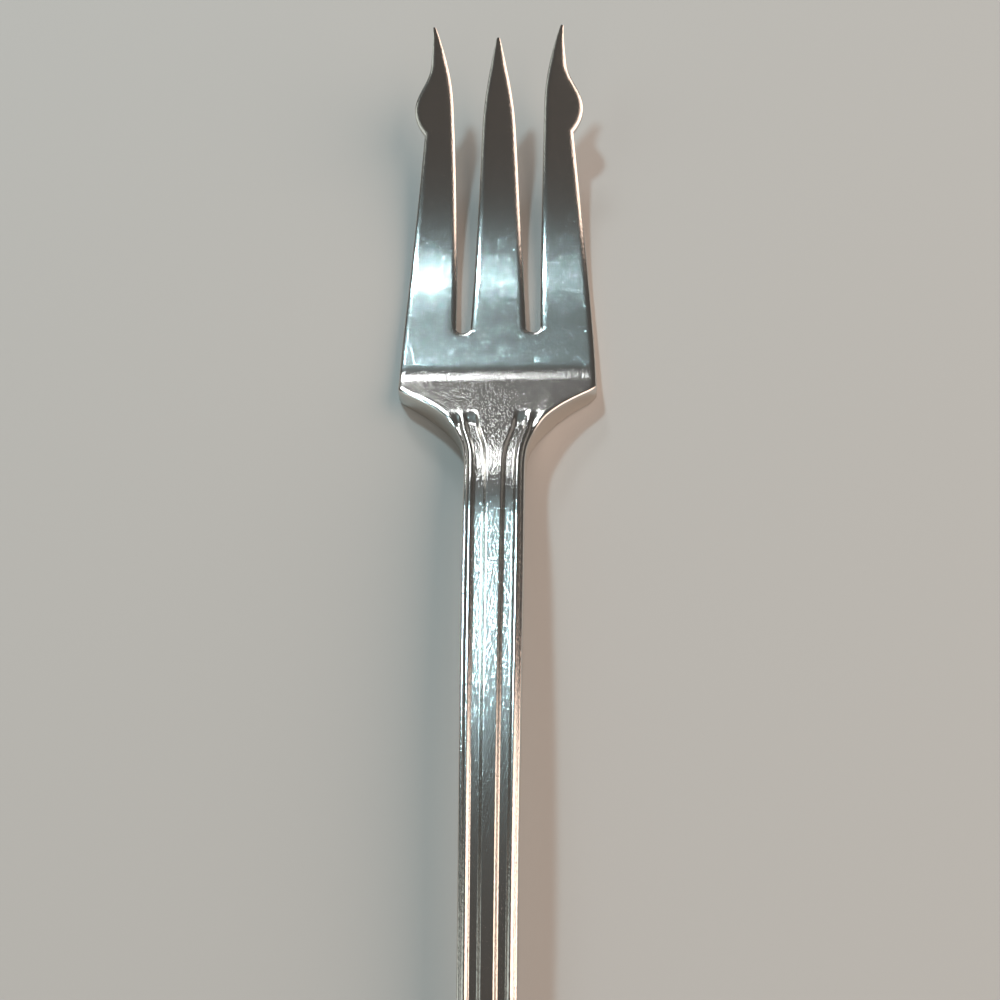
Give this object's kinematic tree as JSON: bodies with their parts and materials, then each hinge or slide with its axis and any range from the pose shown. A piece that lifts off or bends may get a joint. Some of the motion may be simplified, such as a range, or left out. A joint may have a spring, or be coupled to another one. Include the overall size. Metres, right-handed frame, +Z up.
{
  "type": "cocktail fork",
  "caption": "Slim fork for seafood and cocktail bites, with barbed outer tines, a flat square-shouldered palm and a narrow arched stem edged with threads.",
  "frame": {"origin": "on the table, under the middle of the fork's length and width", "axes": "+Y from the handle end to the points, +Z up from the table, +X to the right across the tines"},
  "size_m": [0.016, 0.15, 0.0076],
  "materials": {
    "silver_plate": "electroplated silver on nickel silver, polished lengthwise, with fine scratches and light tarnish"
  },
  "bodies": {
    "root": {"handle_end": "silver_plate", "stem": "silver_plate", "neck": "silver_plate", "palm": "silver_plate", "tine_left": "silver_plate", "tine_middle": "silver_plate", "tine_right": "silver_plate"}
  },
  "joints": []
}
